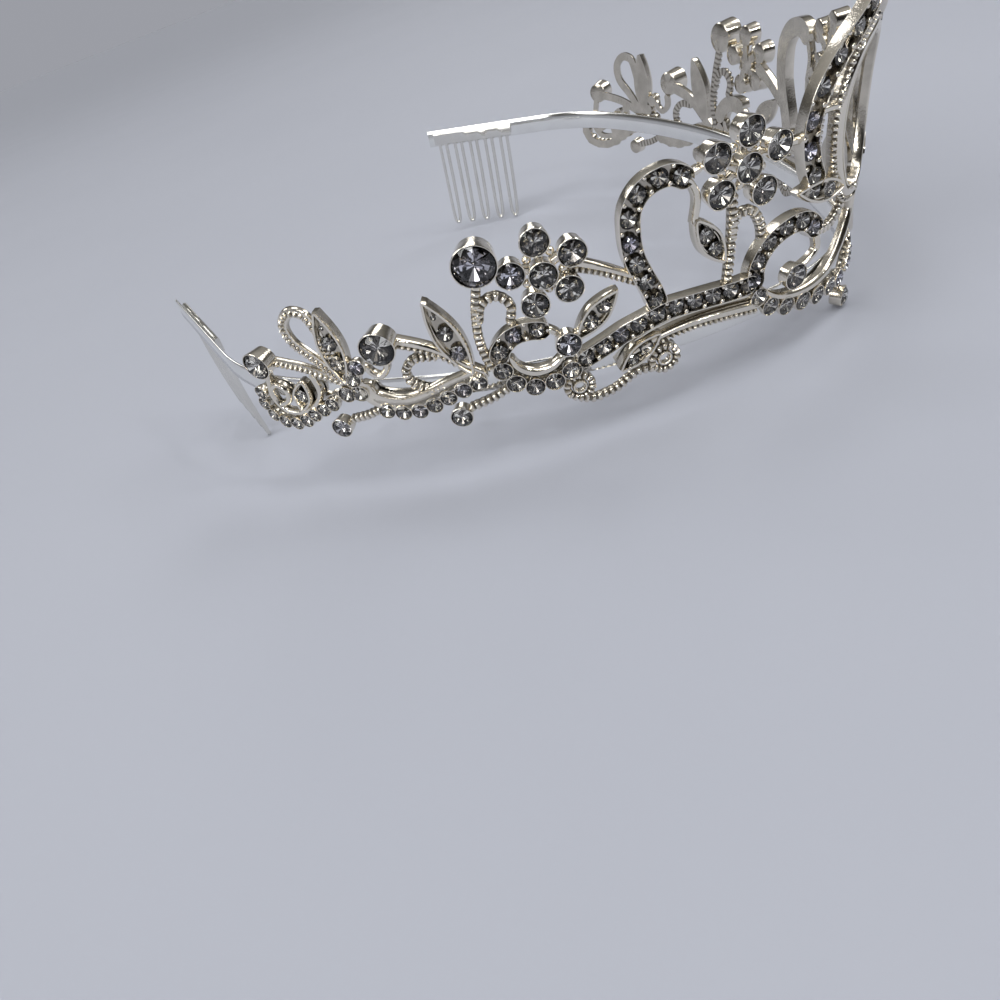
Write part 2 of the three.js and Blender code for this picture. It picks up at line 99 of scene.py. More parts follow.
# Wires of one half: style, number of stones, path of (along, up). A ribbed, swelling or tapered
# wire carries its grooved rail on the left of its path.
WIRES = (
    ("cups", 9, ((115.4, 2.6), (116.4, -0.6), (115, -3.6), (111.9, -4.7), (108.5, -4.2),
                 (104.5, -1.8), (99.3, 1.1))),
    ("beaded", 0, ((110.5, 8.6), (104, 7.4), (97, 4.6))),
    ("rail", 0, ((103, 6.8), (102.6, 2.6), (104.8, -0.4), (108.4, -2.2), (111.8, -2), (113.6, 0.6),
                 (113, 4.2), (112.4, 7.6))),
    ("rail", 0, ((113.4, 2.2), (111.4, 3.6), (109.7, 2.4), (110.3, 0.2), (112.6, -1))),
    ("beaded", 0, ((96.8, 4.6), (101, 9.3), (104.4, 13), (104.8, 16.3), (102.8, 18.4), (100.2, 18),
                   (98.8, 15), (97, 8))),
    ("knurled", 0, ((98.6, -3.6), (94.4, -2.4), (91.5, -0.9))),
    ("cups", 7, ((91.9, -0.6), (88.4, -1.4), (84.9, -1.4), (81.7, -0.4), (78.5, 1.1), (75.2, 2.5),
                 (71.8, 3.6))),
    ("scoop", 0, ((93.4, 5), (92.4, 2), (89.6, 0.5), (86, 0.3), (82.2, 1.5), (77.5, 3.5), (72.6, 5))),
    ("rail", 0, ((88.4, 10.4), (88.2, 7.6), (89.7, 6), (91.3, 6.8), (92, 8.4))),
    ("tapered", 0, ((86.6, 12.6), (79.8, 10.2), (74.9, 6.6), (71.6, 4.4))),
    ("knurled", 0, ((77.6, 2.6), (81.9, 2.3), (84.6, 3.9), (85.2, 6.4), (83.3, 8.6), (79, 8.8))),
    ("knurled", 0, ((76, -2.4), (71.6, -0.9), (67.6, 1.2))),
    ("knurled", 0, ((69.9, 22.6), (71.5, 15), (71.7, 10), (70.6, 4.6))),
    ("knurled", 0, ((71.3, 13.6), (70.2, 17), (67.8, 17.9), (65.8, 16), (66.4, 12.6))),
    ("rail", 0, ((58.6, 8.8), (59.6, 10), (61.2, 11))),
    ("channel", 3, ((60.4, 10.7), (63.2, 11.5), (66.4, 11), (68.6, 8.9), (69.3, 6.4))),
    ("cups", 5, ((69.3, 6.4), (68.5, 3.8), (66.8, 1.7), (63.9, 0.6), (60.6, 1), (57.6, 2.5), (56.4, 3.5))),
    ("crescent", 0, ((67.4, 7.2), (66.4, 4.9), (63.8, 3.3), (60.8, 3.7), (58.8, 5.4))),
    ("tapered", 0, ((56.2, 21), (50.6, 18.4), (45.4, 15.4))),
    ("channel", 10, ((56.6, 3.6), (51.6, 5.7), (48.5, 7.1), (45.3, 8), (41.5, 9), (37.4, 9),
                     (33.7, 8.8), (28.6, 8.4), (24.8, 8.4))),
    ("knurled", 0, ((57.2, -3.9), (54.3, -4.7), (51.9, -4.3), (50, -3.7), (48.1, -2.5), (46.2, -1.6),
                    (43.4, -1.8))),
    ("rail", 0, ((57, 0.4), (56.6, 2.6))),
    ("swelling", 0, ((47.4, 2.6), (42.4, 4.2), (36.4, 4.7), (30, 4.2), (23.8, 3.3))),
    ("thread", 0, ((47, 4.9), (42, 6.5), (36.5, 6.9), (30, 6.4), (24.6, 5.8))),
    ("channel", 8, ((42.4, 9.6), (43.6, 13.3), (45, 16.4), (46.3, 19.9), (46.7, 23.6), (46.3, 27.2),
                    (44.1, 29.8), (40.2, 30.6), (36.8, 28.7))),
    ("rail", 0, ((37.2, 29), (35.7, 26), (36.2, 21.4))),
    ("knurled", 0, ((29.4, 25.4), (29.3, 19), (29.6, 13.6), (30, 8.8))),
    ("knurled", 0, ((29.4, 17), (28.5, 20.4), (26, 20.6), (24, 17.8), (23.4, 13.6))),
    ("rail", 0, ((36.9, 29.3), (34.8, 30))),
    ("channel", 6, ((12.2, 12.2), (15.4, 15.4), (19.2, 15.8), (23, 14.1), (25.1, 10.9), (25.1, 6.8))),
    ("cups", 7, ((25.1, 6.8), (22.7, 3.3), (19.6, 1.4), (16, 0.7), (11.6, -0.2), (6.4, -0.6), (0.9, -1.2))),
    ("crescent", 0, ((23.6, 6.2), (19.6, 3.4), (14, 2.2), (8.4, 3), (3.6, 6.2), (0, 11), (0, 14))),
    ("rail", 0, ((17, 6.4), (11.4, 8.6), (12.2, 12.6))),
    ("ribbed", 0, ((0, 39.6), (5, 37.6), (8.6, 32.6), (9.2, 26.4), (7.6, 20), (4.4, 15.4), (0, 14.2))),
    ("knurled", 0, ((6.8, 17.6), (4.4, 14), (8, 11.6), (12.4, 12))),
    ("channel", 7, ((13.4, 20.2), (15.4, 24.6), (16.2, 29.6), (14.8, 34.6), (11.2, 39), (6, 42.2),
                    (2, 44.4))),
    ("rail", 0, ((16.4, 28.4), (19.6, 28.8), (23, 28.4))),
    ("rail", 0, ((8.8, 30.6), (12, 31.4), (15.8, 31.4))),
    ("rail", 0, ((0, 38.6), (0, 43))),
    ("rail", 0, ((1, -1), (0, -5))),
)

# Small grooved rings of one half, each round a smooth inner ring: middle, radius.
CIRCLES = (((56.6, -1.7), 2.2), ((41.5, -0.5), 2.3))

# Leaves of one half: base, tip, width, stones as (share from base to tip, share of SMALL_STONE).
THREE_STONES = ((0.3, 1.0), (0.56, 0.95), (0.78, 0.34))
TWO_STONES = ((0.36, 0.95), (0.67, 0.88))
LEAVES = (
    ((104.9, 5.4), (107.6, -1.6), 3.8, ((0.5, 1.0),)),
    ((96.2, 4.8), (97.3, 19.3), 4.8, THREE_STONES),
    ((73.8, 5), (79.2, 19.5), 4.8, THREE_STONES),
    ((56.4, 8), (49, 15.2), 4.2, TWO_STONES),
    ((42.3, 5.3), (49.8, -0.2), 3.9, TWO_STONES),
    ((36.2, 22.6), (31, 13.9), 4.2, TWO_STONES),
    ((6.2, 17.6), (17.8, 20.6), 4.0, TWO_STONES),
)
# Outline of a leaf: share from base to tip, share of half its width.
LEAF_PROFILE = ((0, 0), (0.14, 0.5), (0.34, 0.9), (0.55, 1.0), (0.78, 0.66), (0.93, 0.24), (1, 0))
# Cluster of single cups beside the end scroll: (along, up).
CLUSTER = ((93.4, 8.2), (94.8, 5.9), (94.3, 2.9), (96.9, 2.7))

# Single stones: name, (along, up), share of LARGE_STONE, height of the bezel's rim.
BEZELS = (
    ("end_round", (111.8, 9), 0.72, 3.4),
    ("stem_round", (87.6, 12.9), 0.86, 4.0),
    ("high_round", (69.8, 24.8), 1.0, 4.0),
    ("outer_drop", (100, -4.4), 0.5, 2.4),
    ("inner_drop", (77.3, -3), 0.5, 2.4),
    ("ring_side", (57.8, 8), 0.56, 2.6),
    ("ring_heart", (17, 6.4), 0.6, 2.4),
    ("outer_flower_heart", (60.2, 20.8), 0.6, 2.8),
    ("outer_flower_1", (65, 21.8), 0.6, 2.8),
    ("outer_flower_2", (60.8, 26.2), 0.6, 2.8),
    ("outer_flower_3", (55.6, 23.4), 0.6, 2.8),
    ("outer_flower_4", (56.6, 17.8), 0.6, 2.8),
    ("outer_flower_5", (62, 16.2), 0.6, 2.8),
    ("inner_flower_heart", (28, 28.2), 0.6, 2.8),
    ("inner_flower_1", (33.4, 31.2), 0.6, 2.8),
    ("inner_flower_2", (28, 33.4), 0.6, 2.8),
    ("inner_flower_3", (22.9, 29.9), 0.6, 2.8),
    ("inner_flower_4", (25.2, 24), 0.6, 2.8),
    ("inner_flower_5", (32.6, 25.6), 0.6, 2.8),
)
CENTRE_BEZELS = (
    ("centre_drop", (0, -6.2), 0.5, 2.4),
    ("centre_top", (0, 46.4), 0.86, 3.4),
)


# ---- band geometry

def plan(along):
    """x, y and heading of the band's middle at a signed distance from the front."""
    side = -1 if along < 0 else 1
    rest, x, y, h = abs(along), 0.0, 0.0, 0.0
    for radius, turn in ARCS:
        part = min(rest, radius * math.radians(turn))
        after = h + part / radius
        x += radius * (math.sin(after) - math.sin(h))
        y += radius * (math.cos(h) - math.cos(after))
        h, rest = after, rest - part
    return side * (x + rest * math.cos(h)), y + rest * math.sin(h), side * h


COS_TILT, SIN_TILT = math.cos(REST_TILT), math.sin(REST_TILT)


def tipped(x, y, z):
    """The rest pose: leaned back about the x axis and set down on the table."""
    return (x + REST_SHIFT[0], y * COS_TILT - z * SIN_TILT + REST_SHIFT[1],
            y * SIN_TILT + z * COS_TILT + REST_SHIFT[2])


def bend(along, up, out):
    """A point of the flat drawing in the row frame, in metres; out is from the band's middle."""
    x, y, h = plan(along)
    return Vector(tipped(x + out * math.sin(h), y - out * math.cos(h), up)) * MM


def outward(along):
    """Unit vector that faces away from the head at a place along the band."""
    _, _, h = plan(along)
    n = (math.sin(h), -math.cos(h), 0.0)
    return Vector((n[0], n[1] * COS_TILT, n[1] * SIN_TILT))


def smooth_path(points, looped=False, per_span=24):
    """Centripetal curve through flat points, sampled densely."""
    pts = [np.array(p, float) for p in points]
    if looped:
        pts = [pts[-1]] + pts + pts[:2]
    else:
        pts = [2 * pts[0] - pts[1]] + pts + [2 * pts[-1] - pts[-2]]
    dense = []
    for a, b, c, d in zip(pts, pts[1:], pts[2:], pts[3:]):
        t0 = 0.0
        t1 = t0 + math.sqrt(max(np.linalg.norm(b - a), 1e-6))
        t2 = t1 + math.sqrt(max(np.linalg.norm(c - b), 1e-6))
        t3 = t2 + math.sqrt(max(np.linalg.norm(d - c), 1e-6))
        for i in range(per_span):
            t = t1 + (t2 - t1) * i / per_span
            ab = ((t1 - t) * a + (t - t0) * b) / (t1 - t0)
            bc = ((t2 - t) * b + (t - t1) * c) / (t2 - t1)
            cd = ((t3 - t) * c + (t - t2) * d) / (t3 - t2)
            abc = ((t2 - t) * ab + (t - t0) * bc) / (t2 - t0)
            bcd = ((t3 - t) * bc + (t - t1) * cd) / (t3 - t1)
            dense.append(((t2 - t) * abc + (t - t1) * bcd) / (t2 - t1))
    if not looped:
        dense.append(pts[-2])
    return np.array(dense)


def even_steps(points, step=None, count=None, looped=False):
    """Evenly spaced (point, left normal, distance) along a dense path, and the path's length."""
    pts = np.vstack([points, points[:1]]) if looped else points
    run = np.concatenate([[0], np.cumsum(np.linalg.norm(np.diff(pts, axis=0), axis=1))])
    length = run[-1]
    n = count if count else max(2, int(round(length / step)))
    at = np.linspace(0, length, n + 1)
    if looped:
        at = at[:-1]
    x, y = np.interp(at, run, pts[:, 0]), np.interp(at, run, pts[:, 1])
    e = min(0.2, length / 50)
    lo, hi = (at - e, at + e)
    if looped:
        lo, hi = lo % length, hi % length
    else:
        lo, hi = np.clip(lo, 0, length), np.clip(hi, 0, length)
    tx = np.interp(hi, run, pts[:, 0]) - np.interp(lo, run, pts[:, 0])
    ty = np.interp(hi, run, pts[:, 1]) - np.interp(lo, run, pts[:, 1])
    m = np.hypot(tx, ty)
    m[m == 0] = 1
    return [((x[i], y[i]), (-ty[i] / m[i], tx[i] / m[i]), at[i]) for i in range(len(at))], length


class Casting:
    """Collects flat shapes, each vertex with a relief value from 0, a recess, to 1, a crest; the plating
    paints low relief darker, as painted shade with some oxide tone.
    """

    def __init__(self, side):
        self.side = side
        self.verts, self.faces, self.relief = [], [], []

    def add(self, verts, faces, relief):
        start = len(self.verts)
        self.verts += verts
        self.relief += relief
        self.faces += [tuple(start + i for i in f) for f in faces]

    def loft(self, rings, reliefs, looped, shades):
        """Closed body through equal rings of (along, up, depth); shades scale each ring's relief."""
        n = len(rings[0])
        verts = [v for ring in rings for v in ring]
        relief = [r * shade for shade in shades for r in reliefs]
        faces = []
        last = len(rings) if looped else len(rings) - 1
        for i in range(last):
            a, b = i * n, ((i + 1) % len(rings)) * n
            for k in range(n):
                m = (k + 1) % n
                faces.append((a + k, a + m, b + m, b + k))
        if not looped:
            faces.append(tuple(range(n))[::-1])
            faces.append(tuple(range((len(rings) - 1) * n, len(rings) * n)))
        self.add(verts, faces, relief)

    def sweep(self, path, section, width, height, looped=False, taper=(1.0, 1.0), belly=0.0,
              step=0.55, knurl=0.0, round_ends=True):
        """Wire of one section along a path.

        Section points are (across, height, relief), as shares of width and height. A taper gives
        the width's shares at both ends, a belly widens the middle, a knurl is the pitch of cross grooves.
        """
        places, length = even_steps(smooth_path(path, looped), looped=looped,
                                    step=knurl / GROOVE_STEPS if knurl else step)
        if knurl:
            knurl = length / max(1, round(length / knurl))
        rings, shades = [], []
        for (a, u), (na, nu), at in places:
            t = at / length
            w = width * (taper[0] + (taper[1] - taper[0]) * t + belly * math.sin(math.pi * t))
            shrink = crest = 1.0
            if knurl:
                crest = min(1.0, RIDGE_WIDTH * math.sin(math.pi * at / knurl) ** 2)
            if round_ends and not looped:
                near = min(at, length - at) / (w / 2)
                if near < 1:
                    shrink = max(END_WIDTH, math.sqrt(max(0.0, 1 - (1 - near) ** 2)))
            reach = w * shrink * (1 - GROOVE_SIDE * (1 - crest))
            top = height * (1 - GROOVE_DEPTH * (1 - crest))
            rings.append([((a + na * s * reach) * self.side, u + nu * s * reach, d * top)
                          for s, d, _ in section])
            # Painted shade: a groove's relief is scaled down, so the plating paints the gaps between ridges
            # darker.
            shades.append(crest)
        self.loft(rings, [r for _, _, r in section], looped, shades)

    def turn(self, at, profile, sides):
        """Turned shape that faces outward; profile is (radius, depth, relief) from axis to axis."""
        a, u = at[0] * self.side, at[1]
        verts, relief, faces = [], [], []
        ids = []
        for r, d, v in profile:
            if r < 1e-6:
                ids.append([len(verts)])
                verts.append((a, u, d))
                relief.append(v)
            else:
                ids.append(list(range(len(verts), len(verts) + sides)))
                for k in range(sides):
                    q = 2 * math.pi * k / sides
                    verts.append((a + r * math.cos(q), u + r * math.sin(q), d))
                    relief.append(v)
        for low, high in zip(ids, ids[1:]):
            for k in range(sides):
                m = (k + 1) % sides
                if len(low) == 1:
                    faces.append((low[0], high[k], high[m]))
                elif len(high) == 1:
                    faces.append((low[k], high[0], low[m]))
                else:
                    faces.append((low[k], high[k], high[m], low[m]))
        self.add(verts, faces, relief)

    def mesh(self, name, material):
        """Bends all the flat shapes onto the band as one piece."""
        data = bpy.data.meshes.new(name)
        data.from_pydata([bend(a, u, BACK + d) for a, u, d in self.verts], [], self.faces)
        # The stored relief drives the plating's painted shade.
        layer = data.attributes.new("relief", "FLOAT", "POINT")
        layer.data.foreach_set("value", self.relief)
        return finished_piece(name, data, material, CAST_ANGLE)


def face_outward(data):
    bm = bmesh.new()
    bm.from_mesh(data)
    bmesh.ops.recalc_face_normals(bm, faces=bm.faces)
    bm.to_mesh(data)
    bm.free()


def in_scene(name, data):
    thing = bpy.data.objects.new(name, data)
    bpy.context.scene.collection.objects.link(thing)
    return thing


def finished_piece(name, data, material, smooth_angle):
    """Object at the origin with outward faces, smooth shading up to an angle and one material."""
    face_outward(data)
    data.materials.append(material)
    data.shade_smooth()
    data.set_sharp_from_angle(angle=math.radians(smooth_angle))
    return in_scene(name, data)


# ---- materials

def new_group(name, kind, inputs, outputs):
    """Empty node group; inputs are (label, socket, default), outputs are (label, socket)."""
    group = bpy.data.node_groups.new(name, kind)
    for label, socket_kind, value in inputs:
        socket = group.interface.new_socket(name=label, in_out="INPUT", socket_type=socket_kind)
        if value is not None:
            socket.default_value = value
    for label, socket_kind in outputs:
        group.interface.new_socket(name=label, in_out="OUTPUT", socket_type=socket_kind)
    return group, group.nodes.new("NodeGroupInput"), group.nodes.new("NodeGroupOutput")


def mixed_colour(nodes, link, factor, first, second):
    """Mix of two colours, each a plain colour or the socket that gives it."""
    mix = nodes.new("ShaderNodeMix")
    mix.data_type = "RGBA"
    mix.clamp_result = False
    link(factor, mix.inputs["Factor"])
    for socket, value in ((mix.inputs[6], first), (mix.inputs[7], second)):
        if isinstance(value, tuple):
            socket.default_value = (*value, 1)
        else:
            link(value, socket)
    return mix.outputs[2]


def plating_group():
    """Colour, roughness and height of old silver plate: cloudy tone, low relief painted darker as shade with
    some oxide tone, fine pits.
    """
    group, given, out = new_group("plating", "ShaderNodeTree", (
        ("Bright", "NodeSocketColor", (0.9, 0.9, 0.86, 1)),
        ("Shade And Dark Tone", "NodeSocketColor", (0.45, 0.43, 0.36, 1)),
        ("Relief", "NodeSocketFloat", 1.0),
        ("Polish", "NodeSocketFloat", 0.16),
        ("Cloud Scale", "NodeSocketFloat", 300.0),
        ("Pit Scale", "NodeSocketFloat", 2600.0),
    ), (("Color", "NodeSocketColor"), ("Roughness", "NodeSocketFloat"), ("Height", "NodeSocketFloat")))
    nodes, link = group.nodes, group.links.new
    place = nodes.new("ShaderNodeTexCoord")

    def noise(scale, detail):
        texture = nodes.new("ShaderNodeTexNoise")
        texture.inputs["Detail"].default_value = detail
        link(place.outputs["Object"], texture.inputs["Vector"])
        link(given.outputs[scale], texture.inputs["Scale"])
        return texture.outputs["Fac"]

    def add_share(base, value, share):
        """base + value * share"""
        node = nodes.new("ShaderNodeMath")
        node.operation = "MULTIPLY_ADD"
        link(value, node.inputs[0])
        node.inputs[1].default_value = share
        link(base, node.inputs[2])
        return node.outputs[0]

    cloud = noise("Cloud Scale", 4)
    # Low relief and cloudy spots take the darker colour: painted shade with some oxide tone in recesses,
    # random dark tone elsewhere.
    tone = nodes.new("ShaderNodeMapRange")
    tone.inputs["From Min"].default_value = 0.2
    tone.inputs["From Max"].default_value = 1.1
    link(add_share(given.outputs["Relief"], cloud, 0.5), tone.inputs["Value"])
    bright = tone.outputs["Result"]
    colour = mixed_colour(nodes, link, bright, given.outputs["Shade And Dark Tone"], given.outputs["Bright"])
    link(colour, out.inputs["Color"])
    rough = add_share(given.outputs["Polish"], cloud, 0.22)
    link(add_share(rough, bright, -0.14), out.inputs["Roughness"])
    link(noise("Pit Scale", 3), out.inputs["Height"])
    return group


def new_material(name):
    """A material, its nodes, its way to link them and its main shader."""
    material = bpy.data.materials.new(name)
    material.use_nodes = True
    nodes = material.node_tree.nodes
    return material, nodes, material.node_tree.links.new, nodes["Principled BSDF"]


def plated(name, group, bright, shade_and_dark_tone, polish, cloud, relief=None, pit=0.25):
    """Plated metal; its relief is the mesh's own unless one value is given. Low relief takes the darker
    colour, as painted shade with some oxide tone.
    """
    material, nodes, link, shader = new_material(name)
    plating = nodes.new("ShaderNodeGroup")
    plating.node_tree = group
    plating.inputs["Bright"].default_value = (*bright, 1)
    plating.inputs["Shade And Dark Tone"].default_value = (*shade_and_dark_tone, 1)
    plating.inputs["Polish"].default_value = polish
    plating.inputs["Cloud Scale"].default_value = cloud
    if relief is None:
        layer = nodes.new("ShaderNodeAttribute")
        layer.attribute_name = "relief"
        link(layer.outputs["Fac"], plating.inputs["Relief"])
    else:
        plating.inputs["Relief"].default_value = relief
    link(plating.outputs["Color"], shader.inputs["Base Color"])
    link(plating.outputs["Roughness"], shader.inputs["Roughness"])
    shader.inputs["Metallic"].default_value = 1.0
    bump = nodes.new("ShaderNodeBump")
    bump.inputs["Strength"].default_value = pit
    bump.inputs["Distance"].default_value = 0.00006
    link(plating.outputs["Height"], bump.inputs["Height"])
    link(bump.outputs["Normal"], shader.inputs["Normal"])
    return material


def coloured_by(nodes, link, label, low, place, middle, high):
    """Colours from a stored attribute: low at 0, middle at its place, high at 1."""
    layer = nodes.new("ShaderNodeAttribute")
    layer.attribute_name = label
    ramp = nodes.new("ShaderNodeValToRGB")
    stops = ramp.color_ramp.elements
    stops[0].color, stops[1].color = (*low, 1), (*high, 1)
    stops.new(place).color = (*middle, 1)
    link(layer.outputs["Fac"], ramp.inputs["Fac"])
    return ramp.outputs["Color"]


def clear_crown():
    """Cut glass of a stone's table and crown, with a faint violet or warm tint from stone to stone."""
    material, nodes, link, shader = new_material("clear_crown")
    tint = coloured_by(nodes, link, "tone", (0.8, 0.8, 0.97),
                       0.16, (0.94, 0.92, 0.88), (0.97, 0.95, 0.9))
    link(tint, shader.inputs["Base Color"])
    shader.inputs["Metallic"].default_value = 0.0
    shader.inputs["Roughness"].default_value = 0.0
    shader.inputs["IOR"].default_value = 1.6
    shader.inputs["Transmission Weight"].default_value = 1.0
    return material


def foil_with_painted_glints():
    """Foil behind a stone's pavilion, each facet painted dark or bright at random: painted dark reflections
    and white glints.
    """
    material, nodes, link, shader = new_material("foil_with_painted_glints")
    tint = coloured_by(nodes, link, "facet", (0.07, 0.065, 0.06),
                       0.5, (0.34, 0.325, 0.32), (0.98, 0.98, 0.96))
    link(tint, shader.inputs["Base Color"])
    shader.inputs["Metallic"].default_value = 1.0
    shader.inputs["Roughness"].default_value = 0.04
    return material


plating = plating_group()
# The second colour is the darker one. On the casting it is painted shade with some oxide tone in the
# recesses; on the rest it is random cloudy tone.
CAST_SILVER = plated("cast_silver_plate", plating, (0.84, 0.79, 0.69), (0.14, 0.12, 0.095),
                     0.13, 420, pit=0.4)
BEAD_SILVER = plated("bead_silver_plate", plating, (0.86, 0.81, 0.71), (0.36, 0.32, 0.27),
                     0.12, 900, relief=0.8)
STRIP_SILVER = plated("strip_silver_plate", plating, (0.92, 0.92, 0.9), (0.6, 0.6, 0.56),
                      0.14, 160, relief=0.8, pit=0.1)
COMB_STEEL = plated("comb_wire_plate", plating, (0.84, 0.83, 0.79), (0.5, 0.47, 0.4),
                    0.22, 260, relief=0.7)
STONE_GLASS = clear_crown()
STONE_FOIL = foil_with_painted_glints()


# ---- beads and stones by Geometry Nodes

def cut_stone_template():
    """Unit round brilliant: table, eight stars, eight kites, sixteen girdle facets, pointed back."""
    def ring(count, radius, height, turn=0.0):
        """Corners of a regular polygon, turned by a share of one side."""
        return [(radius * math.cos((q + turn) * math.pi / (count / 2)),
                 radius * math.sin((q + turn) * math.pi / (count / 2)), height) for q in range(count)]

    data = bpy.data.meshes.new("stone_cut")
    verts = ring(8, 0.54, 0.36) + ring(8, 0.8, 0.2, 0.5) + ring(16, 1.0, 0.0) + [(0, 0, -0.5)]
    point = len(verts) - 1
    faces = [tuple(range(8))]
    for k in range(8):
        m = (k + 1) % 8
        before = 8 + (k - 1) % 8
        faces.append((k, 8 + k, m))
        faces.append((k, before, 16 + 2 * k, 8 + k))
        faces.append((8 + k, 16 + 2 * k, 16 + 2 * k + 1))
        faces.append((8 + k, 16 + 2 * k + 1, 16 + (2 * k + 2) % 16))
    crown = len(faces)
    for j in range(16):
        faces.append((16 + j, point, 16 + (j + 1) % 16))
    data.from_pydata(verts, [], faces)
    face_outward(data)
    # Painted glints: each face gets a random brightness that the foil paints as dark reflection or white
    # glint.
    painted_glint_chance = random.Random(7)
    layer = data.attributes.new("facet", "FLOAT", "FACE")
    layer.data.foreach_set("value", [painted_glint_chance.choice((0.0, 0.15, 0.35, 0.6, 1.0)) for _ in faces])
    back = data.attributes.new("back", "BOOLEAN", "FACE")
    back.data.foreach_set("value", [k >= crown for k in range(len(faces))])
    return in_scene("stone_cut", data)


def geometry_group(name, inputs):
    """Geometry node group that takes one geometry and gives one."""
    geometry = ("Geometry", "NodeSocketGeometry")
    return new_group(name, "GeometryNodeTree", ((*geometry, None), *inputs), (geometry,))


def named(tree, label, kind):
    """Output of a node that reads a stored attribute."""
    node = tree.nodes.new("GeometryNodeInputNamedAttribute")
    node.data_type = kind
    node.inputs["Name"].default_value = label
    return node.outputs["Attribute"]


def aimed_instances(tree, link, points, shape):
    """Instances on points, turned by the facing, spin and size attributes."""
    aim = tree.nodes.new("FunctionNodeAlignRotationToVector")
    aim.axis = "Z"
    link(named(tree, "facing", "FLOAT_VECTOR"), aim.inputs["Vector"])
    spin = tree.nodes.new("FunctionNodeRotateRotation")
    spin.rotation_space = "LOCAL"
    about = tree.nodes.new("FunctionNodeAxisAngleToRotation")
    about.inputs["Axis"].default_value = (0, 0, 1)
    link(named(tree, "spin", "FLOAT"), about.inputs["Angle"])
    link(aim.outputs["Rotation"], spin.inputs["Rotation"])
    link(about.outputs["Rotation"], spin.inputs["Rotate By"])
    place = tree.nodes.new("GeometryNodeInstanceOnPoints")
    link(points, place.inputs["Points"])
    link(shape, place.inputs["Instance"])
    link(spin.outputs["Rotation"], place.inputs["Rotation"])
    size = tree.nodes.new("ShaderNodeCombineXYZ")
    for axis in range(3):
        link(named(tree, "size", "FLOAT"), size.inputs[axis])
    link(size.outputs["Vector"], place.inputs["Scale"])
    return place.outputs["Instances"]


def bead_tree():
    """Realised beads, one on each point, with one finish."""
    tree, given, out = geometry_group("milgrain_beads", (
        ("Bead Size", "NodeSocketFloat", 1.0),
        ("Smoothness", "NodeSocketInt", 2),
        ("Finish", "NodeSocketMaterial", None)))
    link = tree.links.new
    ball = tree.nodes.new("GeometryNodeMeshIcoSphere")
    link(given.outputs["Bead Size"], ball.inputs["Radius"])
    link(given.outputs["Smoothness"], ball.inputs["Subdivisions"])
    shade = tree.nodes.new("GeometryNodeSetShadeSmooth")
    link(ball.outputs["Mesh"], shade.inputs["Geometry"])
    spots = tree.nodes.new("GeometryNodeMeshToPoints")
    link(given.outputs["Geometry"], spots.inputs["Mesh"])
    placed = aimed_instances(tree, link, spots.outputs["Points"], shade.outputs["Geometry"])
    real = tree.nodes.new("GeometryNodeRealizeInstances")
    link(placed, real.inputs["Geometry"])
    finish = tree.nodes.new("GeometryNodeSetMaterial")
    link(real.outputs["Geometry"], finish.inputs["Geometry"])
    link(given.outputs["Finish"], finish.inputs["Material"])
    link(finish.outputs["Geometry"], out.inputs["Geometry"])
    return tree


def stone_tree():
    """Realised stones, one on each point, each with its own tone, with a finish and a foil backing."""
    tree, given, out = geometry_group("set_stones", (
        ("Cut", "NodeSocketObject", None),
        ("Tone Range", "NodeSocketFloat", 1.0),
        ("Seed", "NodeSocketInt", 3),
        ("Finish", "NodeSocketMaterial", None),
        ("Backing", "NodeSocketMaterial", None)))
    link = tree.links.new
    cut = tree.nodes.new("GeometryNodeObjectInfo")
    link(given.outputs["Cut"], cut.inputs["Object"])
    spots = tree.nodes.new("GeometryNodeMeshToPoints")
    link(given.outputs["Geometry"], spots.inputs["Mesh"])
    placed = aimed_instances(tree, link, spots.outputs["Points"], cut.outputs["Geometry"])
    tone = tree.nodes.new("GeometryNodeStoreNamedAttribute")
    tone.data_type = "FLOAT"
    tone.domain = "INSTANCE"
    tone.inputs["Name"].default_value = "tone"
    chance = tree.nodes.new("FunctionNodeRandomValue")
    chance.data_type = "FLOAT"
    floats = [s for s in chance.inputs if s.type == "VALUE" and s.name in ("Min", "Max") and s.enabled]
    floats[0].default_value = 0.0
    link(given.outputs["Tone Range"], floats[1])
    link(given.outputs["Seed"], chance.inputs["Seed"])
    value = [s for s in chance.outputs if s.enabled][0]
    link(placed, tone.inputs["Geometry"])
    link(value, [s for s in tone.inputs if s.name == "Value" and s.enabled][0])
    real = tree.nodes.new("GeometryNodeRealizeInstances")
    link(tone.outputs["Geometry"], real.inputs["Geometry"])
    finish = tree.nodes.new("GeometryNodeSetMaterial")
    link(real.outputs["Geometry"], finish.inputs["Geometry"])
    link(given.outputs["Finish"], finish.inputs["Material"])
    backing = tree.nodes.new("GeometryNodeSetMaterial")
    link(finish.outputs["Geometry"], backing.inputs["Geometry"])
    link(named(tree, "back", "BOOLEAN"), backing.inputs["Selection"])
    link(given.outputs["Backing"], backing.inputs["Material"])
    link(backing.outputs["Geometry"], out.inputs["Geometry"])
    return tree


def grown(name, tree, spots, values):
    """Runs a tree on points of (place, facing, size, spin) and keeps the plain mesh it makes."""
    data = bpy.data.meshes.new(name)
    data.from_pydata([s[0] for s in spots], [], [])
    facing = data.attributes.new("facing", "FLOAT_VECTOR", "POINT")
    facing.data.foreach_set("vector", [c for s in spots for c in s[1]])
    for label, k in (("size", 2), ("spin", 3)):
        layer = data.attributes.new(label, "FLOAT", "POINT")
        layer.data.foreach_set("value", [s[k] for s in spots])
    seedbed = in_scene(name + "_spots", data)
    grow = seedbed.modifiers.new("grow", "NODES")
    grow.node_group = tree
    sockets = {s.name: s.identifier for s in tree.interface.items_tree if getattr(s, "in_out", "") == "INPUT"}
    for label, value in values.items():
        grow[sockets[label]] = value
    seen = bpy.context.evaluated_depsgraph_get()
    made = bpy.data.meshes.new_from_object(seedbed.evaluated_get(seen))
    made.name = name
    bpy.data.objects.remove(seedbed)
    return in_scene(name, made)
